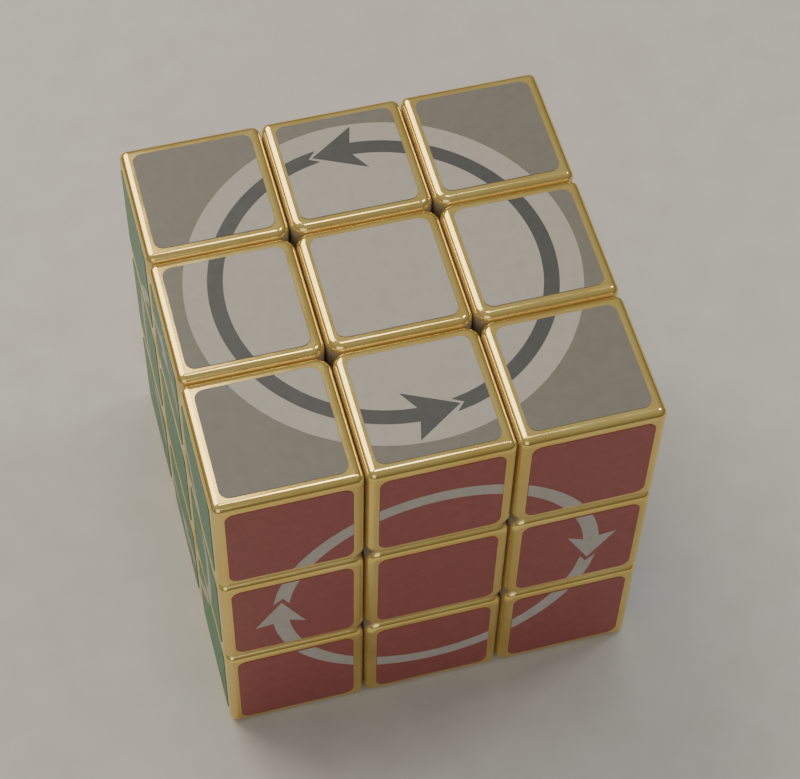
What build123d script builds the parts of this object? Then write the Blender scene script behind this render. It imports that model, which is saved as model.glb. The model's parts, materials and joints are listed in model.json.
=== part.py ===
from build123d import *
import os
from itertools import product

# 3 x 3 x 3 turning puzzle cube: 26 plated caps on black feet and hubs round a six-armed core,
# with a one-way latch in every edge piece. Units are mm. The origin is the centre of the core,
# where the turning axes cross. +X is the right face, +Y the back face and +Z the top face.

# Driving dimensions
PITCH = 19.0  # spacing of the pieces
GAP = 0.2  # space between neighbouring pieces
WALL = 2.0  # wall of the hollow caps
EDGE_RADIUS = 1.1  # rounding of the edges that frame each outer face
STAR_RADIUS = 1.9  # rounding of the upright edges where four pieces meet
STICKER_SIZE = 15.8
STICKER_RADIUS = 1.3
STICKER_THICKNESS = 0.1
HOOK_RADIUS = 16.0  # radius about a turning axis of the step that holds the feet in
HOOK_LEVEL = 6.0  # how near the feet come to the core's centre plane
ROUND_PLAY = 0.15  # play each side of the round step

# Worked out from them
PLAY = GAP / 2
BLOCK = PITCH - GAP
HALF = PITCH + BLOCK / 2  # half of the cube's side, without stickers
LAYER = PITCH / 2
INNER = LAYER + PLAY  # inner face of an outer block
OUTER = LAYER - PLAY  # outer face of the middle blocks
FOOT = HOOK_LEVEL + PLAY  # tip of the feet
NECK = HOOK_LEVEL - PLAY  # half width of the necks and of the core
SHOULDER = HOOK_RADIUS + ROUND_PLAY
REACH = 3 * PITCH  # beyond every corner of the cube

# Stems of the feet, and the hooks that snap in behind the walls of a cap
STEM_END = 15.0
HOOK_END = 17.0
EDGE_STEM_HALF = 3.4
EDGE_HOOK_HALF = 5.0

# Latches, the groove that they run in and the ribs in it that they stop against
LATCH_RADIUS = 21.5  # distance of a latch from the axis that it guards
LATCH_WIDTH = 3.0
LATCH_DEPTH = 2.4
LATCH_TIP = 8.8  # height of its tip over the plane through the core
LATCH_HEAD = 1.6
LATCH_BLUNT = 0.8  # part of the tip's width that is left square
SLIDE_PLAY = 0.1
GROOVE_WIDTH = 3.0
GROOVE_DEPTH = 1.0
RIB_WIDTH = 1.0
RIB_OFFSET = 2.5

# Core bosses, centre hubs, screws and springs
BOSS_RADIUS = 3.2
BOSS_TOP = 9.0
BORE_RADIUS = 3.28
WEB_BOTTOM = 9.2
WEB_TOP = 11.0
HUB_HALF = 4.9
HUB_TOP = 25.0
POCKET_RADIUS = 3.6
SHANK_RADIUS = 1.2
SHANK_HOLE_RADIUS = 1.28
SCREW_END = 3.0
SCREW_SEAT = 18.0
SCREW_TOP = 20.0
SCREW_HEAD_RADIUS = 3.0
SLOT_WIDTH = 0.9
SLOT_DEPTH = 1.0
SPRING_RADIUS = 2.45
SPRING_WIRE = 0.35
SPRING_PITCH = 1.5
SPRING_PLAY = 0.02

CENTRE = (0, 0, 0)
UP, DOWN = Plane(CENTRE, z_dir=(0, 0, 1)), Plane(CENTRE, z_dir=(0, 0, -1))
RIGHT, LEFT = Plane(CENTRE, z_dir=(1, 0, 0)), Plane(CENTRE, z_dir=(-1, 0, 0))
BACK, FRONT = Plane(CENTRE, z_dir=(0, 1, 0)), Plane(CENTRE, z_dir=(0, -1, 0))
FACES = (UP, DOWN, RIGHT, LEFT, BACK, FRONT)
LOW_CORNER = (Align.MIN, Align.MIN, Align.MIN)
LOW_MIDDLE = (Align.CENTER, Align.MIN, Align.MIN)
ON_END = (Align.CENTER, Align.CENTER, Align.MIN)

# Which way the arrows of each face turn it, seen from outside: 1 anticlockwise, -1 clockwise
TURN_SENSE = {
    (0, 0, 1): 1,
    (0, 0, -1): 1,
    (0, 1, 0): 1,
    (0, -1, 0): -1,
    (1, 0, 0): -1,
    (-1, 0, 0): -1,
}

os.makedirs("parts", exist_ok=True)


def unit(axis, side):
    """Direction along one of the three turning axes, 0 for x, 1 for y and 2 for z."""
    return tuple(side if number == axis else 0 for number in range(3))


def outward(index):
    """Outward directions of the coloured faces of the piece at this index."""
    return [Vector(*unit(axis, side)) for axis, side in enumerate(index) if side]


def corner_location(index):
    """Turn that takes the corner at (1, 1, 1) to this index."""
    x_dirs = (unit(0, index[0]), unit(1, index[1]))
    planes = [Plane(CENTRE, x_dir=x_dir, z_dir=unit(2, index[2])) for x_dir in x_dirs]
    target = Vector(*index)
    return min(planes, key=lambda p: (p.x_dir + p.y_dir + p.z_dir - target).length).location


def edge_location(index):
    """Turn that takes the edge at (0, 1, 1) to this index, its +Z face to the arrow's face."""
    arrow, other = arrow_faces(index)
    x_dir = Vector(*other).cross(Vector(*arrow))
    return Plane(CENTRE, x_dir=x_dir, z_dir=arrow).location


def arrow_faces(index):
    """Face of an edge piece that carries its arrow, and its other face."""
    arrow_axis = {(0, 1): 1, (0, 2): 0, (1, 2): 2}[tuple(a for a in range(3) if index[a])]
    other_axis = next(axis for axis in range(3) if index[axis] and axis != arrow_axis)
    return unit(arrow_axis, index[arrow_axis]), unit(other_axis, index[other_axis])


# Room of a turning layer above its boundary, which is round about the layer's axis
with BuildPart() as layer_room:
    with BuildSketch(Plane.XZ):
        with BuildLine():
            Polyline(
                (0, FOOT),
                (HOOK_RADIUS - ROUND_PLAY, FOOT),
                (HOOK_RADIUS - ROUND_PLAY, INNER),
                (REACH, INNER),
                (REACH, REACH),
                (0, REACH),
                close=True,
            )
        make_face()
    revolve(axis=Axis.Z)

# Space that the layer and its latches sweep, which every piece outside the layer leaves free
with BuildPart() as layer_sweep:
    with BuildSketch(Plane.XZ):
        with BuildLine():
            Polyline(
                (0, NECK),
                (SHOULDER, NECK),
                (SHOULDER, OUTER),
                (LATCH_RADIUS - GROOVE_WIDTH / 2, OUTER),
                (LATCH_RADIUS - GROOVE_WIDTH / 2, OUTER - GROOVE_DEPTH),
                (LATCH_RADIUS + GROOVE_WIDTH / 2, OUTER - GROOVE_DEPTH),
                (LATCH_RADIUS + GROOVE_WIDTH / 2, OUTER),
                (REACH, OUTER),
                (REACH, REACH),
                (0, REACH),
                close=True,
            )
        make_face()
    revolve(axis=Axis.Z)

# The same space with latch ribs left standing in the groove, beside each centre
with BuildPart() as ribbed_sweep:
    add(layer_sweep.part)
    with PolarLocations(0, 4):
        with Locations((LATCH_RADIUS, RIB_OFFSET, OUTER), (LATCH_RADIUS, -RIB_OFFSET, OUTER)):
            Box(
                GROOVE_WIDTH + PLAY,
                RIB_WIDTH,
                GROOVE_DEPTH,
                align=(Align.CENTER, Align.CENTER, Align.MAX),
                mode=Mode.SUBTRACT,
            )

# Solid blocks of the three kinds of piece, their visible edges rounded
blocks = {}
for kind, index in {"centre": (0, 0, 1), "edge": (0, 1, 1), "corner": (1, 1, 1)}.items():
    with BuildPart() as block:
        with Locations(Vector(*index) * PITCH):
            Box(BLOCK, BLOCK, BLOCK)
        normals = outward(index)
        upright = []
        for edge in block.edges():
            from_middle = edge.center() - Vector(*index) * PITCH
            on_rim = any(from_middle.dot(normal) > BLOCK / 2 - PLAY for normal in normals)
            along_normal = any(abs((edge % 0).dot(normal)) > 0.9 for normal in normals)
            if along_normal and not on_rim:
                upright.append(edge)
        fillet(upright, STAR_RADIUS)
        rims = []
        for normal in normals:
            rims += block.faces().sort_by(Axis(CENTRE, normal))[-1].edges()
        fillet(list({hash(edge): edge for edge in rims}.values()), EDGE_RADIUS)
    blocks[kind] = block.part

# Corner cap: hollow, with a square opening at its inner corner
with BuildPart() as corner_cap:
    add(blocks["corner"])
    with Locations((INNER + WALL,) * 3):
        Box(*[BLOCK - 2 * WALL] * 3, align=LOW_CORNER, mode=Mode.SUBTRACT)
    with Locations((INNER,) * 3):
        Box(*[STEM_END - INNER] * 3, align=LOW_CORNER, mode=Mode.SUBTRACT)

# Corner foot: its three toes reach under the centres, and its hook snaps into the cap
with BuildPart() as corner_foot:
    with Locations((FOOT,) * 3):
        Box(*[STEM_END - FOOT] * 3, align=LOW_CORNER)
    for plane in (UP, RIGHT, BACK):
        with Locations(plane):
            add(layer_room.part, mode=Mode.INTERSECT)
    with Locations((INNER + WALL,) * 3):
        Box(*[HOOK_END - INNER - WALL] * 3, align=LOW_CORNER)

# Hollow of an edge cap, short of the round shoulder
with BuildPart() as edge_hollow:
    with Locations((0, INNER + WALL, INNER + WALL)):
        Box(*[BLOCK - 2 * WALL] * 3, align=LOW_MIDDLE)
    Cylinder(SHOULDER + WALL, REACH, rotation=(0, 90, 0), mode=Mode.SUBTRACT)

# Edge cap: cut round where the side layers turn past it, with a window for its latch
with BuildPart() as edge_cap:
    add(blocks["edge"])
    for plane in (RIGHT, LEFT):
        with Locations(plane):
            add(layer_sweep.part, mode=Mode.SUBTRACT)
    Cylinder(SHOULDER, REACH, rotation=(0, 90, 0), mode=Mode.SUBTRACT)
    add(edge_hollow.part, mode=Mode.SUBTRACT)
    with Locations((0, INNER, INNER)):
        Box(
            2 * EDGE_STEM_HALF,
            *[STEM_END - INNER] * 2,
            align=LOW_MIDDLE,
            mode=Mode.SUBTRACT,
        )
    with Locations((0, LATCH_RADIUS, INNER)):
        Box(
            LATCH_WIDTH + 2 * SLIDE_PLAY,
            LATCH_DEPTH + 2 * SLIDE_PLAY,
            3 * WALL,
            mode=Mode.SUBTRACT,
        )

# Hook of an edge foot, inside the hollow of its cap
with BuildPart() as edge_hook:
    with Locations((0, INNER + WALL, INNER + WALL)):
        Box(2 * EDGE_HOOK_HALF, *[HOOK_END - INNER - WALL] * 2, align=LOW_MIDDLE)
    add(edge_hollow.part, mode=Mode.INTERSECT)

# Edge foot: a neck between the side layers, with toes under two centres
with BuildPart() as edge_foot:
    with Locations((0, FOOT, FOOT)):
        Box(2 * NECK, *[SHOULDER - FOOT] * 2, align=LOW_MIDDLE)
    Cylinder(SHOULDER, REACH, rotation=(0, 90, 0), mode=Mode.INTERSECT)
    for plane in (UP, BACK):
        with Locations(plane):
            add(layer_room.part, mode=Mode.INTERSECT)
    with Locations((0, INNER, INNER)):
        Box(2 * EDGE_STEM_HALF, *[STEM_END - INNER] * 2, align=LOW_MIDDLE)
    add(edge_hook.part)

# Neck of a centre, between the four side layers
with BuildPart() as centre_neck:
    with Locations((0, 0, FOOT)):
        Box(2 * NECK, 2 * NECK, SHOULDER, align=ON_END)
    Cylinder(SHOULDER, REACH, rotation=(0, 90, 0), mode=Mode.INTERSECT)
    Cylinder(SHOULDER, REACH, rotation=(90, 0, 0), mode=Mode.INTERSECT)

# Centre hub: turns on a boss of the core, with a web for the spring and a pocket for the screw
with BuildPart() as centre_hub:
    add(centre_neck.part)
    with Locations((0, 0, WEB_TOP)):
        Box(2 * HUB_HALF, 2 * HUB_HALF, HUB_TOP - WEB_TOP, align=ON_END)
        Cylinder(POCKET_RADIUS, HUB_TOP, align=ON_END, mode=Mode.SUBTRACT)
    Cylinder(SHANK_HOLE_RADIUS, HUB_TOP, align=ON_END, mode=Mode.SUBTRACT)
    Cylinder(BORE_RADIUS, WEB_BOTTOM, align=ON_END, mode=Mode.SUBTRACT)

# Centre cap: cut round where the four side layers turn past it, and lifted off to reach the screw
with BuildPart() as centre_hollow:
    with Locations((0, 0, INNER + WALL)):
        Box(*[BLOCK - 2 * WALL] * 3, align=ON_END)
    Cylinder(SHOULDER + WALL, REACH, rotation=(0, 90, 0), mode=Mode.SUBTRACT)
    Cylinder(SHOULDER + WALL, REACH, rotation=(90, 0, 0), mode=Mode.SUBTRACT)

with BuildPart() as centre_cap:
    add(blocks["centre"])
    for plane in (RIGHT, LEFT, BACK, FRONT):
        with Locations(plane):
            add(ribbed_sweep.part, mode=Mode.SUBTRACT)
    add(centre_neck.part, mode=Mode.SUBTRACT)
    add(centre_hollow.part, mode=Mode.SUBTRACT)
    with Locations((0, 0, INNER)):
        Box(2 * HUB_HALF, 2 * HUB_HALF, BLOCK / 2, align=ON_END, mode=Mode.SUBTRACT)

# Latch: square on the side that stops the layer, sloped on the side that rides over a rib
latches = {}
for sense in (1, -1):
    with BuildPart() as latch:
        with BuildSketch(Plane.XZ.offset(-LATCH_RADIUS)):
            with BuildLine():
                side = sense * LATCH_WIDTH / 2
                Polyline(
                    (-side, LATCH_TIP),
                    (-side + sense * LATCH_BLUNT, LATCH_TIP),
                    (side, LATCH_TIP + LATCH_WIDTH - LATCH_BLUNT),
                    (side, INNER + WALL),
                    (-side, INNER + WALL),
                    close=True,
                )
            make_face()
        extrude(amount=LATCH_DEPTH / 2, both=True)
        with Locations((0, LATCH_RADIUS, INNER + WALL)):
            Box(LATCH_WIDTH + LATCH_HEAD, LATCH_DEPTH + LATCH_HEAD, LATCH_HEAD, align=ON_END)
    latches[sense] = latch.part

# Caps, named by where they sit in the solved cube, and the latch of each edge
WORDS = (("left", "", "right"), ("front", "", "back"), ("bottom", "", "top"))
KINDS = {1: centre_cap, 2: edge_cap, 3: corner_cap}
feet = {"top": [], "middle": [], "bottom": []}
hubs = {"top": [], "middle": [], "bottom": []}
for index in product((-1, 0, 1), repeat=3):
    faces = outward(index)
    if not faces:
        continue
    words = [WORDS[axis][index[axis] + 1] for axis in (2, 1, 0)]
    name = "_".join(word for word in words if word)
    layer = WORDS[2][index[2] + 1] or "middle"
    if len(faces) == 1:
        name += "_centre"
        place = Plane(CENTRE, z_dir=faces[0]).location
        hubs[layer].append(place)
    elif len(faces) == 2:
        place = edge_location(index)
        feet[layer].append((place, edge_foot))
    else:
        place = corner_location(index)
        feet[layer].append((place, corner_foot))

    with BuildPart() as cap:
        with Locations(place):
            add(KINDS[len(faces)].part)
    cap.part.label = f"{name}_cap"
    export_step(cap.part, f"parts/{name}_cap.step")

    if len(faces) == 2:
        with BuildPart() as placed_latch:
            with Locations(place):
                add(latches[TURN_SENSE[arrow_faces(index)[0]]])
        placed_latch.part.label = f"{name}_latch"
        export_step(placed_latch.part, f"parts/{name}_latch.step")

# Feet and hubs of the three layers: one node for each layer's feet, and the middle hubs with theirs
for layer, placed_feet in feet.items():
    with BuildPart() as inner_pieces:
        for place, foot in placed_feet:
            with Locations(place):
                add(foot.part)
        if layer == "middle":
            with Locations(*hubs[layer]):
                add(centre_hub.part)
    inner_name = "middle_feet_and_hubs" if layer == "middle" else f"{layer}_feet"
    inner_pieces.part.label = inner_name
    export_step(inner_pieces.part, f"parts/{inner_name}.step")

for layer in ("top", "bottom"):
    with BuildPart() as hub:
        with Locations(*hubs[layer]):
            add(centre_hub.part)
    hub.part.label = f"{layer}_hub"
    export_step(hub.part, f"parts/{layer}_hub.step")

# Core: six bosses on a cube, each with the hole of its screw
with BuildPart() as core:
    Box(2 * NECK, 2 * NECK, 2 * NECK)
    with Locations(*FACES):
        Cylinder(BOSS_RADIUS, BOSS_TOP, align=ON_END)
    with Locations(*[plane.offset(SCREW_END) for plane in FACES]):
        Cylinder(SHANK_RADIUS, BOSS_TOP, align=ON_END, mode=Mode.SUBTRACT)
core.part.label = "core"
export_step(core.part, "parts/core.step")

# Six tension screws with wide slotted heads
with BuildPart() as screw:
    with Locations((0, 0, SCREW_END)):
        Cylinder(SHANK_RADIUS, SCREW_SEAT - SCREW_END, align=ON_END)
    with Locations((0, 0, SCREW_SEAT)):
        Cylinder(SCREW_HEAD_RADIUS, SCREW_TOP - SCREW_SEAT, align=ON_END)
    chamfer(screw.edges().sort_by(Axis.Z)[-1], SLOT_DEPTH / 2)
    with Locations((0, 0, SCREW_TOP - SLOT_DEPTH)):
        Box(2 * SCREW_HEAD_RADIUS, SLOT_WIDTH, SLOT_DEPTH, align=ON_END, mode=Mode.SUBTRACT)

with BuildPart() as tension_screws:
    with Locations(*FACES):
        add(screw.part)
tension_screws.part.label = "tension_screws"
export_step(tension_screws.part, "parts/tension_screws.step")

# Six coil springs between the webs of the hubs and the screw heads
with BuildPart() as spring:
    with BuildLine():
        coil = Helix(
            pitch=SPRING_PITCH,
            height=SCREW_SEAT - WEB_TOP - 2 * (SPRING_WIRE + SPRING_PLAY),
            radius=SPRING_RADIUS,
            center=(0, 0, WEB_TOP + SPRING_WIRE + SPRING_PLAY),
        )
    with BuildSketch(Plane(origin=coil @ 0, z_dir=coil % 0)):
        Circle(SPRING_WIRE)
    sweep(path=coil, is_frenet=True)

with BuildPart() as tension_springs:
    with Locations(*FACES):
        add(spring.part)
tension_springs.part.label = "tension_springs"
export_step(tension_springs.part, "parts/tension_springs.step")

# Stickers: the top and bottom faces have nine each, a side face has three in each layer
for name, normal in {"white": (0, 0, 1), "yellow": (0, 0, -1)}.items():
    with BuildPart() as stickers:
        with BuildSketch(Plane(CENTRE, z_dir=normal).offset(HALF)):
            with GridLocations(PITCH, PITCH, 3, 3):
                RectangleRounded(STICKER_SIZE, STICKER_SIZE, STICKER_RADIUS)
        extrude(amount=STICKER_THICKNESS)
    stickers.part.label = f"{name}_stickers"
    export_step(stickers.part, f"parts/{name}_stickers.step")

SIDE_COLOURS = {"red": (0, -1, 0), "orange": (0, 1, 0), "green": (-1, 0, 0), "blue": (1, 0, 0)}
LAYER_HEIGHTS = {"top": PITCH, "middle": 0.0, "bottom": -PITCH}
for (name, normal), (layer, height) in product(SIDE_COLOURS.items(), LAYER_HEIGHTS.items()):
    level = Vector(0, 0, 1).cross(Vector(*normal))
    with BuildPart() as stickers:
        with BuildSketch(Plane((0, 0, height), x_dir=level, z_dir=normal).offset(HALF)):
            with GridLocations(PITCH, PITCH, 3, 1):
                RectangleRounded(STICKER_SIZE, STICKER_SIZE, STICKER_RADIUS)
        extrude(amount=STICKER_THICKNESS)
    stickers.part.label = f"{layer}_{name}_stickers"
    export_step(stickers.part, f"parts/{layer}_{name}_stickers.step")
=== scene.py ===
import json
import logging
import math
from dataclasses import dataclass, field
from enum import Enum
from typing import Any, Iterable, Sequence

import bmesh
import bpy
from mathutils import Matrix, Vector


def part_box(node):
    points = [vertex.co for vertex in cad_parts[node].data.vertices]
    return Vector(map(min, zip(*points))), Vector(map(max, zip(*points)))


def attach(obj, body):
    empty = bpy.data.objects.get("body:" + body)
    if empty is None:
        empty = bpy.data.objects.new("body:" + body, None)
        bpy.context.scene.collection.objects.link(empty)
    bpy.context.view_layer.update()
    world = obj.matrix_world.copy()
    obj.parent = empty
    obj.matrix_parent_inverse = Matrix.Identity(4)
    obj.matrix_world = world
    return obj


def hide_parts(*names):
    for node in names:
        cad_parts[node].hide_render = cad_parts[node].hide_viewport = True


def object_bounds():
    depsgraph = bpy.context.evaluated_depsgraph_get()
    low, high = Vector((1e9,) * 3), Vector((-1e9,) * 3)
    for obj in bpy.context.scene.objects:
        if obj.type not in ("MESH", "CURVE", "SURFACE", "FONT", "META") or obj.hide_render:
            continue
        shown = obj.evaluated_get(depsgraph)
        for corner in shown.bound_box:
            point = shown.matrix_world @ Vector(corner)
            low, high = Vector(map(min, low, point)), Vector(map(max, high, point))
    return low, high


# Looks of a gold-plated 3 x 3 x 3 turning puzzle cube with printed ring-arrow stickers.
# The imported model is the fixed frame. Its plated caps and its workings keep their shapes and get
# their finishes here, and its plain sticker solids give way to cut vinyl sheets with printed inks.
# Lengths named _mm are in millimetres, as are the heights and outlines of the flat shapes;
# everything handed to Blender is in metres.

logging.basicConfig(level=logging.INFO, format="%(name)s: %(message)s")
log = logging.getLogger("puzzle_cube")

MM = 0.001
NOISE_MIDDLE = (0.25, 0.75)  # nearly all of a noise's values lie in here
WELDS_PER_MM = 2000  # corners of a print closer than half a micrometre become one
SLIVER_MM2 = 1e-5  # cut-off ink smaller than this is dropped

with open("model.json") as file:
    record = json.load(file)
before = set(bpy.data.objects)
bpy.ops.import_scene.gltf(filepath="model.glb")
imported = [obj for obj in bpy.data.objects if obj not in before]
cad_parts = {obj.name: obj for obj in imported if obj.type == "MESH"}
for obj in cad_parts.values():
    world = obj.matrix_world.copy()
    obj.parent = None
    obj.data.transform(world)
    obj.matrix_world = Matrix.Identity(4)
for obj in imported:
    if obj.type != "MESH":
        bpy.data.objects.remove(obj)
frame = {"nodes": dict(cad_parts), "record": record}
cad_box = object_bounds()

Point2 = tuple[float, float]
Span = tuple[float, float]
Tree = bpy.types.NodeTree
Socket = bpy.types.NodeSocket


# ---------------------------------------------------------------- colour and node helpers


def linear(hex_colour: str) -> tuple[float, float, float, float]:
    """Turn an sRGB hex colour into linear RGBA.

    Args:
        hex_colour: colour as "#RRGGBB".

    Returns:
        Linear red, green, blue and an alpha of 1.
    """
    values = [int(hex_colour[start : start + 2], 16) / 255 for start in (1, 3, 5)]
    curved = [v / 12.92 if v <= 0.04045 else ((v + 0.055) / 1.055) ** 2.4 for v in values]
    return (curved[0], curved[1], curved[2], 1.0)


def add_node(
    tree: Tree, kind: str, *, sockets: dict[Any, Any] | None = None, **settings: Any
) -> bpy.types.Node:
    """Add a node with its settings, its socket values and the links into it.

    Args:
        tree: node tree that takes the node.
        kind: Blender's node type name.
        sockets: input name or number to a value, or to the output socket that feeds it.
        **settings: attributes of the node itself.

    Returns:
        The new node.
    """
    made = tree.nodes.new(kind)
    for name, value in settings.items():
        setattr(made, name, value)
    for name, value in (sockets or {}).items():
        if isinstance(value, Socket):
            tree.links.new(value, made.inputs[name])
        else:
            made.inputs[name].default_value = value
    return made


def cycles_per_metre(size_mm: float) -> float:
    """Noise scale whose features are about this many millimetres across."""
    return 1.0 / (size_mm * MM)


@dataclass(frozen=True)
class Grain:
    """One layer of noise: how coarse it is, and how it is drawn out along an axis."""

    size_mm: float
    detail: float = 3.0
    stretch: tuple[float, float, float] = (1.0, 1.0, 1.0)  # below 1 draws it out along that axis
    fine_share: float = 0.55  # weight of each finer layer against the one before

    def output(self, tree: Tree) -> Socket:
        """Add the noise to a tree, in the object's own coordinates.

        Args:
            tree: node tree to add to.

        Returns:
            The output socket with the noise's value.
        """
        place = add_node(tree, "ShaderNodeTexCoord")
        mapping = add_node(
            tree,
            "ShaderNodeMapping",
            sockets={"Vector": place.outputs["Object"], "Scale": self.stretch},
        )
        noise = add_node(
            tree,
            "ShaderNodeTexNoise",
            sockets={
                "Vector": mapping.outputs["Vector"],
                "Scale": cycles_per_metre(self.size_mm),
                "Detail": self.detail,
                "Roughness": self.fine_share,
            },
        )
        return noise.outputs["Fac"]


def spread(tree: Tree, value: Socket, source: Span, target: Span) -> Socket:
    """Map one range of a value to another, held at its ends.

    Args:
        tree: node tree to add to.
        value: value to map.
        source: low and high end that it comes from.
        target: results at those ends.

    Returns:
        The output socket with the mapped value.
    """
    sockets = {
        "Value": value,
        "From Min": source[0],
        "From Max": source[1],
        "To Min": target[0],
        "To Max": target[1],
    }
    return add_node(tree, "ShaderNodeMapRange", sockets=sockets).outputs["Result"]


def remap(tree: Tree, noise: Socket, target: Span) -> Socket:
    """Spread the middle half of a noise, where nearly all of it lies, over a range."""
    return spread(tree, noise, NOISE_MIDDLE, target)


def mix_colours(tree: Tree, amount: Socket, first: Any, second: Any) -> Socket:
    """Mix two colours by an amount that varies over the surface.

    Args:
        tree: node tree to add to.
        amount: share of the second colour.
        first: hex colour, or the socket that gives one.
        second: hex colour, or the socket that gives one.

    Returns:
        The output socket with the mixed colour.
    """
    ends = [linear(end) if isinstance(end, str) else end for end in (first, second)]
    sockets = {0: amount, 6: ends[0], 7: ends[1]}
    return add_node(tree, "ShaderNodeMix", data_type="RGBA", sockets=sockets).outputs[2]


def mix_value(tree: Tree, amount: Socket, first: Any, second: Any) -> Socket:
    """Mix two numbers, each a value or a socket, by an amount that varies over the surface."""
    sockets = {0: amount, 2: first, 3: second}
    return add_node(tree, "ShaderNodeMix", data_type="FLOAT", sockets=sockets).outputs[0]


@dataclass(frozen=True)
class Relief:
    """How high the bumps of a surface are, and how strongly they are drawn."""

    height_mm: float
    strength: float

    def normal(self, tree: Tree, height: Socket, under: Socket | None = None) -> Socket:
        """Add the bumps to a tree.

        Args:
            tree: node tree to add to.
            height: value that gives the surface's height, from 0 to 1.
            under: normal of an earlier relief that this one lies over.

        Returns:
            The output socket with the normal.
        """
        sockets = {"Height": height, "Distance": self.height_mm * MM, "Strength": self.strength}
        if under is not None:
            sockets["Normal"] = under
        return add_node(tree, "ShaderNodeBump", sockets=sockets).outputs["Normal"]


def new_material(name: str) -> tuple[bpy.types.Material, Tree, bpy.types.Node]:
    """Start a node material.

    Args:
        name: name of the material.

    Returns:
        The material, its node tree and its Principled shader.
    """
    material = bpy.data.materials.new(name)
    material.use_nodes = True
    return material, material.node_tree, material.node_tree.nodes["Principled BSDF"]


def set_inputs(tree: Tree, shader: bpy.types.Node, values: dict[str, Any]) -> None:
    """Set or link the named inputs of a shader.

    Args:
        tree: node tree that holds the shader.
        shader: node whose inputs are set.
        values: input name to a value, or to the output socket that feeds it.
    """
    for name, value in values.items():
        if isinstance(value, Socket):
            tree.links.new(value, shader.inputs[name])
        else:
            shader.inputs[name].default_value = value


# ---------------------------------------------------------------- finishes


@dataclass(frozen=True)
class GoldPlatedAbs:
    """ABS mouldings, vacuum metallised and dipped in a golden lacquer.

    The metal is a true mirror, so the roundings draw thin bright and brown lines from whatever
    stands round them; the lacquer pools a little, which shifts the gold from lemon to amber. Down
    in the gaps the gold fades to a dull, pale brown: painted light, which lifts the shade that
    falls there.
    """

    surface_mm: float  # how far the plated faces stand from the cube's middle
    pale: str = "#F6DC88"
    amber: str = "#EBC870"
    # painted light: the dull, pale brown that lifts the shade down in the gaps
    painted_gap_light: str = "#C6B89F"
    roughness: Span = (0.08, 0.17)
    # metal and roughness of that painted gap light
    gap_light_metallic: float = 0.1
    gap_light_roughness: float = 0.5
    full_depth_mm: float = 0.3  # depth in a gap down to which the gold is whole
    # from this depth down the gaps take the painted light whole
    gap_light_depth_mm: float = 1.35  # depth at which it is gone
    pooling: Grain = Grain(9.0, detail=2.0)
    orange_peel: Grain = Grain(1.3, detail=2.0)
    peel_relief: Relief = Relief(0.004, 0.35)
    # Handling leaves hairlines a few hundredths of a millimetre wide; these are drawn 0.5 mm wide
    # and 4 mm long, so that they show.
    hairlines: Grain = Grain(0.5, detail=4.0, stretch=(1.0, 0.12, 1.0))
    hairline_relief: Relief = Relief(0.002, 0.5)
    haze: Grain = Grain(4.0, detail=5.0)

    def material(self) -> bpy.types.Material:
        """Build the material.

        Returns:
            The gold of the caps.
        """
        material, tree, shader = new_material("gold_plated_abs")
        pools = remap(tree, self.pooling.output(tree), (0.0, 1.0))
        gold = mix_colours(tree, pools, self.pale, self.amber)
        # 0 down in the gaps, where a pale brown painted light lifts the shade, 1 where the gold is whole
        gold_over_gap_light = self._gold_over_gap_light(tree)
        hazy = remap(tree, self.haze.output(tree), self.roughness)
        peel = self.peel_relief.normal(tree, self.orange_peel.output(tree))
        set_inputs(
            tree,
            shader,
            {
                # down in the gaps colour, metal and roughness go over to the painted light
                "Base Color": mix_colours(tree, gold_over_gap_light, self.painted_gap_light, gold),
                "Metallic": spread(tree, gold_over_gap_light, (0.0, 1.0), (self.gap_light_metallic, 1.0)),
                "Roughness": mix_value(tree, gold_over_gap_light, self.gap_light_roughness, hazy),
                "Normal": self.hairline_relief.normal(tree, self.hairlines.output(tree), peel),
            },
        )
        return material

    def _gold_over_gap_light(self, tree: Tree) -> Socket:
        """Share of gold against painted gap light, from the depth below the cube's nearest face.

        Args:
            tree: node tree to add to.

        Returns:
            A value from 0, where the gap takes the painted light, to 1, where the gold is whole.
        """
        place = add_node(tree, "ShaderNodeTexCoord").outputs["Object"]
        folded = add_node(tree, "ShaderNodeVectorMath", operation="ABSOLUTE", sockets={0: place})
        axes = add_node(tree, "ShaderNodeSeparateXYZ", sockets={0: folded.outputs["Vector"]}).outputs
        out = axes[0]
        for axis in axes[1:]:
            sockets = {0: out, 1: axis}
            out = add_node(tree, "ShaderNodeMath", operation="MAXIMUM", sockets=sockets).outputs[0]
        gone = (self.surface_mm - self.gap_light_depth_mm) * MM
        whole = (self.surface_mm - self.full_depth_mm) * MM
        return spread(tree, out, (gone, whole), (0.0, 1.0))


@dataclass(frozen=True)
class MouldedAbs:
    """Self-coloured plastic with the satin of a spark-eroded mould: its edges catch soft light."""

    name: str
    base: str
    worn: str
    roughness: Span = (0.42, 0.58)
    ior: float = 1.53
    flow: Grain = Grain(5.0, detail=3.0)
    # The real grit is about 0.03 mm; it is drawn at 0.25 mm, so that it shows.
    spark_texture: Grain = Grain(0.25, detail=2.0)
    spark_relief: Relief = Relief(0.01, 0.4)

    def material(self) -> bpy.types.Material:
        """Build the material.

        Returns:
            The plastic, drifting from its base colour to its worn one.
        """
        material, tree, shader = new_material(self.name)
        flow = self.flow.output(tree)
        drift = remap(tree, flow, (0.0, 1.0))
        set_inputs(
            tree,
            shader,
            {
                "Base Color": mix_colours(tree, drift, self.base, self.worn),
                "Roughness": remap(tree, flow, self.roughness),
                "IOR": self.ior,
                "Normal": self.spark_relief.normal(tree, self.spark_texture.output(tree)),
            },
        )
        return material


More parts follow.
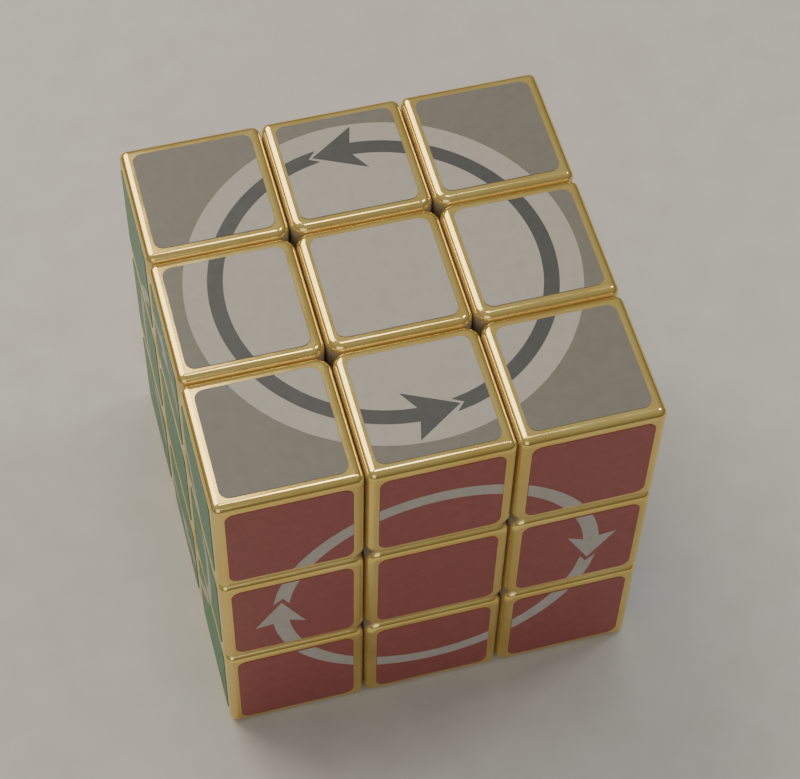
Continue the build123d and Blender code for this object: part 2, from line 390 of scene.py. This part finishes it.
@dataclass(frozen=True)
class ZincPlatedSteel:
    """Turned or drawn steel with bright zinc: cool grey, with the tool marks left in it."""

    cool: str = "#B9BCC0"
    dull: str = "#94979B"
    roughness: Span = (0.22, 0.4)
    bloom: Grain = Grain(2.5, detail=3.0)
    # Tool marks are about 0.05 mm apart; they are drawn at 0.3 mm, so that they show.
    tool_marks: Grain = Grain(0.3, detail=3.0, stretch=(1.0, 1.0, 0.2))
    tool_relief: Relief = Relief(0.003, 0.4)

    def material(self) -> bpy.types.Material:
        """Build the material.

        Returns:
            The steel of the screws and springs.
        """
        material, tree, shader = new_material("zinc_plated_steel")
        bloom = self.bloom.output(tree)
        blooming = remap(tree, bloom, (0.0, 1.0))
        set_inputs(
            tree,
            shader,
            {
                "Base Color": mix_colours(tree, blooming, self.cool, self.dull),
                "Metallic": 1.0,
                "Roughness": remap(tree, bloom, self.roughness),
                "Normal": self.tool_relief.normal(tree, self.tool_marks.output(tree)),
            },
        )
        return material


@dataclass(frozen=True)
class PrintedVinyl:
    """Cast vinyl film, screen printed and matt laminated.

    The laminate gives a soft sheen with no sharp reflections; the ink lies slightly uneven, and
    the film shows the faint pebbling of the glue under it.
    """

    name: str
    ink: str
    thin_ink: str
    roughness: Span = (0.34, 0.46)
    ior: float = 1.5
    mottle: Grain = Grain(1.6, detail=4.0)
    pebble: Grain = Grain(0.7, detail=2.0)
    pebble_relief: Relief = Relief(0.002, 0.3)

    def material(self) -> bpy.types.Material:
        """Build the material.

        Returns:
            The printed film, or a layer of ink on it.
        """
        material, tree, shader = new_material(self.name)
        unevenness = remap(tree, self.mottle.output(tree), (0.0, 1.0))
        pebble = self.pebble.output(tree)
        set_inputs(
            tree,
            shader,
            {
                "Base Color": mix_colours(tree, unevenness, self.ink, self.thin_ink),
                "Roughness": remap(tree, pebble, self.roughness),
                "IOR": self.ior,
                "Normal": self.pebble_relief.normal(tree, pebble),
            },
        )
        return material


@dataclass(frozen=True)
class LaminateTable:
    """Pale melamine table top: warm grey-white, slowly mottled, dry to the touch and low in sheen."""

    light: str = "#CFCCC5"
    shade: str = "#C6C3BB"
    roughness: float = 0.55
    mottle: Grain = Grain(6.0, detail=6.0)  # its finest layer is the 0.1 mm speckle of the paper
    paper_relief: Relief = Relief(0.01, 0.2)

    def material(self) -> bpy.types.Material:
        """Build the material.

        Returns:
            The table's laminate.
        """
        material, tree, shader = new_material("laminate_table")
        mottle = self.mottle.output(tree)
        set_inputs(
            tree,
            shader,
            {
                "Base Color": mix_colours(tree, remap(tree, mottle, (0.0, 1.0)), self.light, self.shade),
                "Roughness": self.roughness,
                "Normal": self.paper_relief.normal(tree, mottle),
            },
        )
        return material


# ---------------------------------------------------------------- flat shapes of the prints


class Sense(Enum):
    """Way that a face's arrows turn it, seen from outside."""

    ANTICLOCKWISE = 1
    CLOCKWISE = -1


def rounded_square(side_mm: float, radius_mm: float, steps: int = 8) -> list[Point2]:
    """Outline of a square with round corners.

    Args:
        side_mm: side of the square.
        radius_mm: radius of its corners.
        steps: segments of each corner's arc.

    Returns:
        Points anticlockwise about the origin.
    """
    reach = side_mm / 2 - radius_mm
    quarter = math.pi / 2
    points = []
    for corner, (right, up) in enumerate(((1, 1), (-1, 1), (-1, -1), (1, -1))):
        for step in range(steps + 1):
            angle = (corner + step / steps) * quarter
            x = right * reach + radius_mm * math.cos(angle)
            y = up * reach + radius_mm * math.sin(angle)
            points.append((x, y))
    return points


def clip_to(outline: Sequence[Point2], polygon: Sequence[Point2]) -> list[Point2]:
    """Part of a convex polygon inside a convex outline, both anticlockwise.

    Args:
        outline: convex outline that keeps what is inside it.
        polygon: convex polygon to cut.

    Returns:
        Points of the part that is left, or an empty list.
    """
    kept = list(polygon)
    for (ax, ay), (bx, by) in zip(outline, [*outline[1:], outline[0]]):

        def side(point: Point2) -> float:
            """Distance-like value, positive on the left of the outline's edge."""
            return (bx - ax) * (point[1] - ay) - (by - ay) * (point[0] - ax)

        cut = []
        for first, second in zip(kept, [*kept[1:], *kept[:1]]):
            one, two = side(first), side(second)
            if one >= 0:
                cut.append(first)
            if (one > 0 > two) or (one < 0 < two):
                share = one / (one - two)
                cut.append(tuple(a + share * (b - a) for a, b in zip(first, second)))
        kept = cut
    return kept


def area_of(polygon: Sequence[Point2]) -> float:
    """Signed area of a flat polygon, positive if its points run anticlockwise."""
    pairs = zip(polygon, [*polygon[1:], polygon[0]])
    return sum(a[0] * b[1] - b[0] * a[1] for a, b in pairs) / 2


@dataclass(frozen=True)
class RingArrows:
    """Two arrows chasing each other round a ring, printed across eight of a face's nine stickers.

    Each arrow's tip lies just past the middle of its edge sticker and nests in the notched tail of
    the next one.
    """

    radius_mm: float = 21.15
    half_width_mm: float = 1.0
    tip_mm: float = 4.2  # past the middle of the sticker
    neck_mm: float = -1.15
    outer_barb_mm: Point2 = (-1.6, 3.7)  # along the ring, and out from its middle line
    inner_barb_mm: Point2 = (-3.25, -3.4)
    tail_corner_mm: float = -0.8  # from the tip of the arrow before it
    tail_notch_mm: float = 0.5
    step_mm: float = 0.9

    def polygons(self, sense: Sense, first_angle: float) -> list[list[Point2]]:
        """Shape of the two arrows as small convex polygons.

        Args:
            sense: way that the arrows turn.
            first_angle: angle of the middle of the first arrowhead's sticker, in radians.

        Returns:
            Anticlockwise convex polygons in millimetres about the face's middle.
        """
        shapes = [
            [self._place(point, sense, first_angle + half * math.pi) for point in shape]
            for half in range(2)
            for shape in (*self._head(), *self._band())
        ]
        return [shape if area_of(shape) > 0 else shape[::-1] for shape in shapes]

    def _place(self, point: Point2, sense: Sense, middle: float) -> Point2:
        """Take a point from the ring to the face.

        Args:
            point: millimetres along the ring and out from its middle line.
            sense: way that the arrows turn.
            middle: angle on the face at which the way along starts, in radians.

        Returns:
            The point on the face, in millimetres about its middle.
        """
        along, out = point
        angle = middle + sense.value * along / self.radius_mm
        reach = self.radius_mm + out
        return (reach * math.cos(angle), reach * math.sin(angle))

    def _head(self) -> list[list[Point2]]:
        """Cut the arrowhead up.

        Returns:
            Triangles along and out from the ring: one to each barb, and two before the neck.
        """
        tip, neck, width = (self.tip_mm, 0.0), (self.neck_mm, 0.0), self.half_width_mm
        outer, inner = (self.neck_mm, width), (self.neck_mm, -width)
        return [
            [tip, self.outer_barb_mm, outer],
            [tip, outer, neck],
            [tip, neck, inner],
            [tip, inner, self.inner_barb_mm],
        ]

    def _band(self) -> list[list[Point2]]:
        """Cut the band up, from its notched tail, half a turn back, to the arrow's neck.

        Returns:
            Two rows of quads along and out from the ring.
        """
        width = self.half_width_mm
        tip_before = self.tip_mm - math.pi * self.radius_mm
        start = tip_before + self.tail_notch_mm + self.step_mm
        corner = tip_before + self.tail_corner_mm
        notch = (tip_before + self.tail_notch_mm, 0.0)
        shapes = [
            [notch, (corner, width), (start, width), (start, 0.0)],
            [notch, (start, 0.0), (start, -width), (corner, -width)],
        ]
        count = round((self.neck_mm - start) / self.step_mm)
        stations = [start + (self.neck_mm - start) * step / count for step in range(count + 1)]
        for here, there in zip(stations, stations[1:]):
            shapes.append([(here, 0.0), (here, width), (there, width), (there, 0.0)])
            shapes.append([(here, -width), (here, 0.0), (there, 0.0), (there, -width)])
        return shapes


@dataclass(frozen=True)
class Disc:
    """Plain round field printed across a face."""

    radius_mm: float = 25.2
    steps: int = 144

    def polygons(self) -> list[list[Point2]]:
        """Outline of the disc as one convex polygon."""
        angles = [step * 2 * math.pi / self.steps for step in range(self.steps)]
        return [[(self.radius_mm * math.cos(angle), self.radius_mm * math.sin(angle)) for angle in angles]]


# ---------------------------------------------------------------- meshes


@dataclass(frozen=True)
class FacePlane:
    """Flat side of the cube: where its middle is and which way its width and height run."""

    normal: Vector
    across: Vector
    middle: Vector

    @property
    def up(self) -> Vector:
        """Direction of the face's height."""
        return self.normal.cross(self.across)

    def point(self, u_mm: float, v_mm: float, lift_mm: float) -> Vector:
        """Point of the face from millimetres across, up and out."""
        return self.middle + (self.across * u_mm + self.up * v_mm + self.normal * lift_mm) * MM


def plate(
    shape: bmesh.types.BMesh,
    plane: FacePlane,
    polygons: Iterable[Sequence[Point2]],
    low: float,
    high: float,
) -> None:
    """Add a thin closed plate to a mesh.

    Args:
        shape: mesh that takes the plate.
        plane: face of the cube that it lies on.
        polygons: anticlockwise convex polygons in millimetres that make up its outline together.
        low: height of its underside over the face, in millimetres.
        high: height of its top.
    """
    corners: dict[tuple[int, int], bmesh.types.BMVert] = {}
    faces = []
    for polygon in polygons:
        ring = []
        for u, v in polygon:
            key = (round(u * WELDS_PER_MM), round(v * WELDS_PER_MM))
            if key not in corners:
                corners[key] = shape.verts.new(plane.point(u, v, low))
            if not ring or ring[-1] is not corners[key]:
                ring.append(corners[key])
        if len(ring) > 1 and ring[0] is ring[-1]:
            ring.pop()
        if len(set(ring)) == len(ring) > 2:
            faces.append(shape.faces.new(ring))
    if not faces:
        return
    lifted = bmesh.ops.extrude_face_region(shape, geom=faces, use_keep_orig=True)
    top = [item for item in lifted["geom"] if isinstance(item, bmesh.types.BMVert)]
    bmesh.ops.translate(shape, verts=top, vec=plane.normal * (high - low) * MM)
    for face in faces:
        face.normal_flip()


def sheet(
    shape: bmesh.types.BMesh, plane: FacePlane, outline: Sequence[Point2], thick: float, edge: float
) -> None:
    """Add a sticker: a flat sheet whose cut edge is slightly rounded over.

    Args:
        shape: mesh that takes the sheet.
        plane: face of the cube that it lies on.
        outline: its outline in millimetres, anticlockwise.
        thick: its thickness in millimetres.
        edge: how far its rounded edge runs in, in millimetres.
    """
    middle = [sum(point[axis] for point in outline) / len(outline) for axis in range(2)]
    reach = max(point[0] for point in outline) - middle[0]

    def level(height: float, inset: float) -> list[bmesh.types.BMVert]:
        """Lay a ring of corners at a height, drawn in towards the sheet's middle.

        Args:
            height: millimetres above the face.
            inset: millimetres in from the outline.

        Returns:
            The ring's corners in order.
        """
        share = 1 - inset / reach
        drawn_in = [[m + (c - m) * share for m, c in zip(middle, point)] for point in outline]
        return [shape.verts.new(plane.point(*spot, height)) for spot in drawn_in]

    knee = edge * 0.3  # the rounding, in two chamfers, turns here
    rings = [level(0.0, 0.0), level(thick - edge, 0.0), level(thick - knee, knee), level(thick, edge)]
    for lower, upper in zip(rings, rings[1:]):
        for index in range(len(outline)):
            after = (index + 1) % len(outline)
            shape.faces.new((lower[index], lower[after], upper[after], upper[index]))
    shape.faces.new(rings[-1])
    shape.faces.new(rings[0][::-1])


def finished_object(name: str, shape: bmesh.types.BMesh, material: bpy.types.Material) -> bpy.types.Object:
    """Turn a bmesh into an object in the scene.

    Args:
        name: name of the piece.
        shape: its mesh, which is used up.
        material: its one material.

    Returns:
        The new object.
    """
    bmesh.ops.recalc_face_normals(shape, faces=shape.faces[:])
    mesh = bpy.data.meshes.new(name)
    shape.to_mesh(mesh)
    shape.free()
    mesh.materials.append(material)
    made = bpy.data.objects.new(name, mesh)
    bpy.context.scene.collection.objects.link(made)
    return made


# ---------------------------------------------------------------- the puzzle's sub-assemblies


@dataclass(frozen=True)
class FaceStyle:
    """Colours and print of one side of the cube."""

    slot: str
    vinyl: PrintedVinyl
    arrow_ink: PrintedVinyl
    sense: Sense
    first_arrow_deg: float  # angle on the face of the first arrowhead's sticker
    arrows: RingArrows = RingArrows()
    disc_ink: PrintedVinyl | None = None


@dataclass(frozen=True)
class StickerLayout:
    """Sizes of a node's stickers, read from its box: three stand in a row across each side."""

    base_m: float  # distance of the stickers' undersides from the cube's middle
    side_mm: float
    pitch_mm: float
    rows: tuple[int, ...]

    @classmethod
    def measure(cls, node: str, normal: Vector) -> "StickerLayout":
        """Work the layout out.

        Args:
            node: sticker node, of one row on an upright side or of all three on a level one.
            normal: outward direction of the side.

        Returns:
            The layout of the node's stickers.
        """
        low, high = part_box(node)
        facing = max(range(3), key=lambda axis: abs(normal[axis]))
        base = min(abs(low[facing]), abs(high[facing]))
        length = max((high - low)[axis] for axis in range(3)) / MM
        level = facing == 2
        row_low, row_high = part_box("top_red_stickers") if level else (low, high)
        side = (row_high.z - row_low.z) / MM
        pitch = (length - side) / 2
        rows = (-1, 0, 1) if level else (round((low.z + high.z) / 2 / MM / pitch),)
        return cls(base, side, pitch, rows)


@dataclass
class StickerSet:
    """Stickers of one side that share a CAD node: cut sheets, and the print that crosses them."""

    node: str
    body: str
    plane: FacePlane
    style: FaceStyle
    layout: StickerLayout
    columns: Sequence[int] = (-1, 0, 1)
    radius_mm: float = 1.3
    film_mm: float = 0.07
    ink_mm: float = 0.012
    edge_mm: float = 0.03
    ink_margin_mm: float = 0.05

    def build(self, dressed: dict[str, bpy.types.Material]) -> list[bpy.types.Object]:
        """Build the sheets and prints and hang them on their body.

        Args:
            dressed: materials made so far, by name.

        Returns:
            The new pieces.
        """
        style = self.style
        pieces = [self._sheets(material_of(style.vinyl, dressed))]
        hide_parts(self.node)
        level = self.film_mm
        if style.disc_ink:
            shapes = Disc().polygons()
            pieces += self._print("disc_print", shapes, level, material_of(style.disc_ink, dressed))
            level += self.ink_mm
        shapes = style.arrows.polygons(style.sense, math.radians(style.first_arrow_deg))
        pieces += self._print("arrow_print", shapes, level, material_of(style.arrow_ink, dressed))
        for piece in pieces:
            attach(piece, self.body)
        return pieces

    def _spots(self) -> list[Point2]:
        """Middles of the stickers on the face."""
        pitch = self.layout.pitch_mm
        return [(column * pitch, row * pitch) for row in self.layout.rows for column in self.columns]

    def _sheets(self, material: bpy.types.Material) -> bpy.types.Object:
        """Cut a vinyl sheet for each sticker.

        Args:
            material: printed vinyl of this side.

        Returns:
            The sheets as one piece.
        """
        shape = bmesh.new()
        for u, v in self._spots():
            outline = [(u + x, v + y) for x, y in rounded_square(self.layout.side_mm, self.radius_mm)]
            sheet(shape, self.plane, outline, self.film_mm, self.edge_mm)
        return finished_object(f"{self.node}_vinyl", shape, material)

    def _print(
        self, name: str, polygons: list[list[Point2]], level: float, material: bpy.types.Material
    ) -> list[bpy.types.Object]:
        """Lay a layer of ink, cut off at each sticker's edge.

        Args:
            name: what the print shows, for the piece's name.
            polygons: the print on the whole face, as anticlockwise convex polygons.
            level: height of the layer's underside over the face, in millimetres.
            material: ink of the print.

        Returns:
            The piece, or nothing where the print misses all of these stickers.
        """
        shape = bmesh.new()
        side = self.layout.side_mm - 2 * self.ink_margin_mm
        radius = self.radius_mm - self.ink_margin_mm
        for u, v in self._spots():
            outline = [(u + x, v + y) for x, y in rounded_square(side, radius)]
            inked = [clip_to(outline, polygon) for polygon in polygons]
            inked = [polygon for polygon in inked if len(polygon) > 2 and area_of(polygon) > SLIVER_MM2]
            plate(shape, self.plane, inked, level, level + self.ink_mm)
        if not shape.faces:
            shape.free()
            return []
        return [finished_object(f"{self.node}_{name}", shape, material)]


def material_of(finish: Any, dressed: dict[str, bpy.types.Material]) -> bpy.types.Material:
    """Material of a finish, made the first time that it is asked for.

    Args:
        finish: one of the finishes above.
        dressed: materials made so far, by name.

    Returns:
        The finish's material.
    """
    key = getattr(finish, "name", type(finish).__name__)
    if key not in dressed:
        dressed[key] = finish.material()
    return dressed[key]


@dataclass
class DressedNodes:
    """CAD nodes that keep their shape and take a finish."""

    title: str
    finish: Any
    nodes: Sequence[str]

    def dress(self, dressed: dict[str, bpy.types.Material]) -> None:
        """Give every node the finish.

        Args:
            dressed: materials made so far, by name.
        """
        material = material_of(self.finish, dressed)
        for name in self.nodes:
            mesh = frame["nodes"][name].data
            mesh.materials.clear()
            mesh.materials.append(material)
        log.info("%s: %d nodes in %s", self.title, len(self.nodes), material.name)


@dataclass
class PuzzleCube:
    """The whole cube: plated caps, workings and the stickers of its six sides."""

    dressed: dict[str, bpy.types.Material] = field(default_factory=dict)

    CHARCOAL = PrintedVinyl("charcoal_ink", "#454544", "#4C4C4A")
    PALE = PrintedVinyl("pale_grey_ink", "#B9B3AA", "#ADA79E")
    WHITE_FIELD = PrintedVinyl("white_ink", "#B0AA9E", "#A8A296")
    GREY_VINYL = PrintedVinyl("silver_grey_vinyl", "#78746A", "#716D62")
    YELLOW_VINYL = PrintedVinyl("yellow_vinyl", "#D9BC3A", "#CFB132")
    RED_VINYL = PrintedVinyl("red_vinyl", "#9C504B", "#944944")
    ORANGE_VINYL = PrintedVinyl("orange_vinyl", "#CC6B32", "#C3632C")
    GREEN_VINYL = PrintedVinyl("green_vinyl", "#2F7449", "#2A6C43")
    BLUE_VINYL = PrintedVinyl("blue_vinyl", "#345694", "#2F4F89")

    def styles(self) -> dict[str, tuple[Vector, FaceStyle]]:
        """Say how each side looks.

        Returns:
            Outward direction and style of each side, by the colour in its node names.
        """
        anti, clock = Sense.ANTICLOCKWISE, Sense.CLOCKWISE
        wide = RingArrows()
        narrow = RingArrows(
            radius_mm=20.8,
            half_width_mm=1.05,
            tip_mm=3.1,
            neck_mm=-1.9,
            outer_barb_mm=(-2.0, 3.45),
            inner_barb_mm=(-3.5, -3.05),
            tail_corner_mm=-0.4,
            tail_notch_mm=1.0,
        )
        white = FaceStyle("white_vinyl", self.GREY_VINYL, self.CHARCOAL, anti, 90, wide, self.WHITE_FIELD)
        yellow = FaceStyle("yellow_vinyl", self.YELLOW_VINYL, self.CHARCOAL, anti, 90, wide)
        red = FaceStyle("red_vinyl", self.RED_VINYL, self.PALE, clock, 0, narrow)
        orange = FaceStyle("orange_vinyl", self.ORANGE_VINYL, self.CHARCOAL, anti, 0, narrow)
        green = FaceStyle("green_vinyl", self.GREEN_VINYL, self.PALE, clock, 90, narrow)
        blue = FaceStyle("blue_vinyl", self.BLUE_VINYL, self.PALE, clock, 90, narrow)
        return {
            "white": (Vector((0, 0, 1)), white),
            "yellow": (Vector((0, 0, -1)), yellow),
            "red": (Vector((0, -1, 0)), red),
            "orange": (Vector((0, 1, 0)), orange),
            "green": (Vector((-1, 0, 0)), green),
            "blue": (Vector((1, 0, 0)), blue),
        }

    def build(self) -> None:
        """Dress the CAD nodes, then lay every sticker."""
        names = sorted(frame["nodes"])
        caps = [name for name in names if name.endswith("_cap")]
        inner = [name for name in names if name == "core" or "feet" in name or name.endswith("_hub")]
        latches = [name for name in names if name.endswith("_latch")]
        steel = [name for name in names if name.startswith("tension_")]
        gold = GoldPlatedAbs(surface_mm=max(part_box(name)[1][2] for name in caps) / MM)
        grey = MouldedAbs("grey_brown_abs", "#7A7167", "#837A6F")
        nylon = MouldedAbs("natural_nylon", "#CFC8B6", "#BEB7A4", roughness=(0.3, 0.42))
        for group in (
            DressedNodes("plated caps", gold, caps),
            DressedNodes("core, feet and hubs", grey, inner),
            DressedNodes("latches", nylon, latches),
            DressedNodes("screws and springs", ZincPlatedSteel(), steel),
        ):
            group.dress(self.dressed)
        for colour, (normal, style) in self.styles().items():
            self._lay_stickers(colour, normal, style)

    def _lay_stickers(self, colour: str, normal: Vector, style: FaceStyle) -> None:
        """Lay the stickers of one side, node by node.

        Args:
            colour: colour in the side's node names.
            normal: outward direction of the side.
            style: how the side looks.
        """
        bodies = frame["record"]["behaviour"]["bodies"]
        body_of = {node: body for body, nodes in bodies.items() for node in nodes}
        upright = normal.z == 0
        across = Vector((0, 0, 1)).cross(normal) if upright else Vector((1, 0, 0))
        for node in sorted(name for name in frame["nodes"] if name.endswith(f"{colour}_stickers")):
            layout = StickerLayout.measure(node, normal)
            plane = FacePlane(normal, across, normal * layout.base_m)
            pieces = StickerSet(node, body_of[node], plane, style, layout).build(self.dressed)
            log.info("%s: %s", node, ", ".join(piece.name for piece in pieces))


# ---------------------------------------------------------------- studio


@dataclass(frozen=True)
class SoftBox:
    """Square studio light that faces the cube."""

    name: str
    azimuth_deg: float
    elevation_deg: float
    distance_m: float
    size_m: float
    watts: float
    colour: str

    def hang(self) -> None:
        """Put the light in the scene."""
        data = bpy.data.lights.new(self.name, "AREA")
        data.shape = "SQUARE"
        data.size = self.size_m
        data.energy = self.watts
        data.color = linear(self.colour)[:3]
        lamp = bpy.data.objects.new(self.name, data)
        bpy.context.scene.collection.objects.link(lamp)
        back = direction(self.azimuth_deg, self.elevation_deg)
        lamp.matrix_world = looking_along(back, 0.0, back * self.distance_m)


def direction(azimuth_deg: float, elevation_deg: float) -> Vector:
    """Direction from the cube to a camera or light.

    Args:
        azimuth_deg: way round, from 0 in front of the red side towards the blue one.
        elevation_deg: height above the table.

    Returns:
        The unit vector.
    """
    azimuth, elevation = math.radians(azimuth_deg), math.radians(elevation_deg)
    level = math.cos(elevation)
    return Vector((math.sin(azimuth) * level, -math.cos(azimuth) * level, math.sin(elevation)))


def looking_along(back: Vector, roll_deg: float, place: Vector) -> Matrix:
    """Stand a camera or light at a place.

    Args:
        back: direction that its back faces.
        roll_deg: turn about its own line of sight.
        place: where it stands, in metres.

    Returns:
        Its matrix.
    """
    level = Vector((0, 0, 1)).cross(back).normalized()
    up = back.cross(level)
    roll = math.radians(roll_deg)
    right = level * math.cos(roll) + up * math.sin(roll)
    turned = Matrix((right, back.cross(right), back)).transposed()
    return Matrix.Translation(place) @ turned.to_4x4()


@dataclass(frozen=True)
class Studio:
    """Pale table, soft lights, the dim room round them, and the camera."""

    table_m: float = 3.0
    table_steps: int = 24
    camera_mm: tuple[float, float, float] = (-46.12, -164.35, 258.53)
    azimuth_deg: float = -16.52
    elevation_deg: float = 56.26
    roll_deg: float = 1.84
    lens_mm: float = 102.5
    nearest_m: float = 0.01
    lights: tuple[SoftBox, ...] = (
        SoftBox("window_back_left", -152.0, 48.0, 1.1, 0.7, 7.0, "#FFF4E2"),
        SoftBox("ceiling_right", 105.0, 60.0, 1.0, 0.16, 1.2, "#FFFFFF"),
        SoftBox("overhead", 150.0, 77.0, 1.1, 0.16, 0.7, "#FFFFFF"),
        SoftBox("front_fill", -20.0, 30.0, 1.4, 0.9, 3.0, "#F4F6FF"),
    )
    wall: str = "#7C776E"
    ceiling: str = "#C4C4C0"
    ceiling_climb: Span = (-0.1, 0.85)  # upward part of a direction, where wall ends and ceiling is reached
    window_side: tuple[float, float, float] = (-0.45, 0.75, 0.49)
    far_strength: float = 0.525
    window_strength: float = 0.9

    def build(self) -> None:
        """Set the table, the lights and the camera."""
        self._table()
        for light in self.lights:
            light.hang()
        self._room()
        data = bpy.data.cameras.new("camera")
        data.lens = self.lens_mm
        data.clip_start = self.nearest_m
        camera = bpy.data.objects.new("camera", data)
        bpy.context.scene.collection.objects.link(camera)
        back = direction(self.azimuth_deg, self.elevation_deg)
        camera.matrix_world = looking_along(back, self.roll_deg, Vector(self.camera_mm) * MM)
        bpy.context.scene.camera = camera
        log.info("studio: table, %d lights and camera", len(self.lights))

    def _table(self) -> None:
        """Table top that the cube rests on, as a fine grid."""
        shape = bmesh.new()
        steps = self.table_steps
        bmesh.ops.create_grid(shape, x_segments=steps, y_segments=steps, size=self.table_m / 2)
        bmesh.ops.translate(shape, verts=shape.verts[:], vec=(0, 0, cad_box[0][2]))
        finished_object("table_top", shape, LaminateTable().material())

    def _room(self) -> None:
        """Light of a room from all round: dim walls, a pale ceiling, and more on the window's side."""
        world = bpy.data.worlds.new("room")
        world.use_nodes = True
        tree = world.node_tree
        way = add_node(tree, "ShaderNodeTexCoord").outputs["Generated"]
        climb, side = (
            add_node(tree, "ShaderNodeVectorMath", operation="DOT_PRODUCT", sockets={0: way, 1: towards})
            for towards in ((0.0, 0.0, 1.0), self.window_side)
        )
        height = spread(tree, climb.outputs["Value"], self.ceiling_climb, (0.0, 1.0))
        strengths = (self.far_strength, self.window_strength)
        lit = {
            "Color": mix_colours(tree, height, self.wall, self.ceiling),
            "Strength": spread(tree, side.outputs["Value"], (-1.0, 1.0), strengths),
        }
        set_inputs(tree, tree.nodes["Background"], lit)
        bpy.context.scene.world = world


def main() -> None:
    """Build the cube and the studio."""
    PuzzleCube().build()
    Studio().build()


if __name__ == "__main__":
    main()
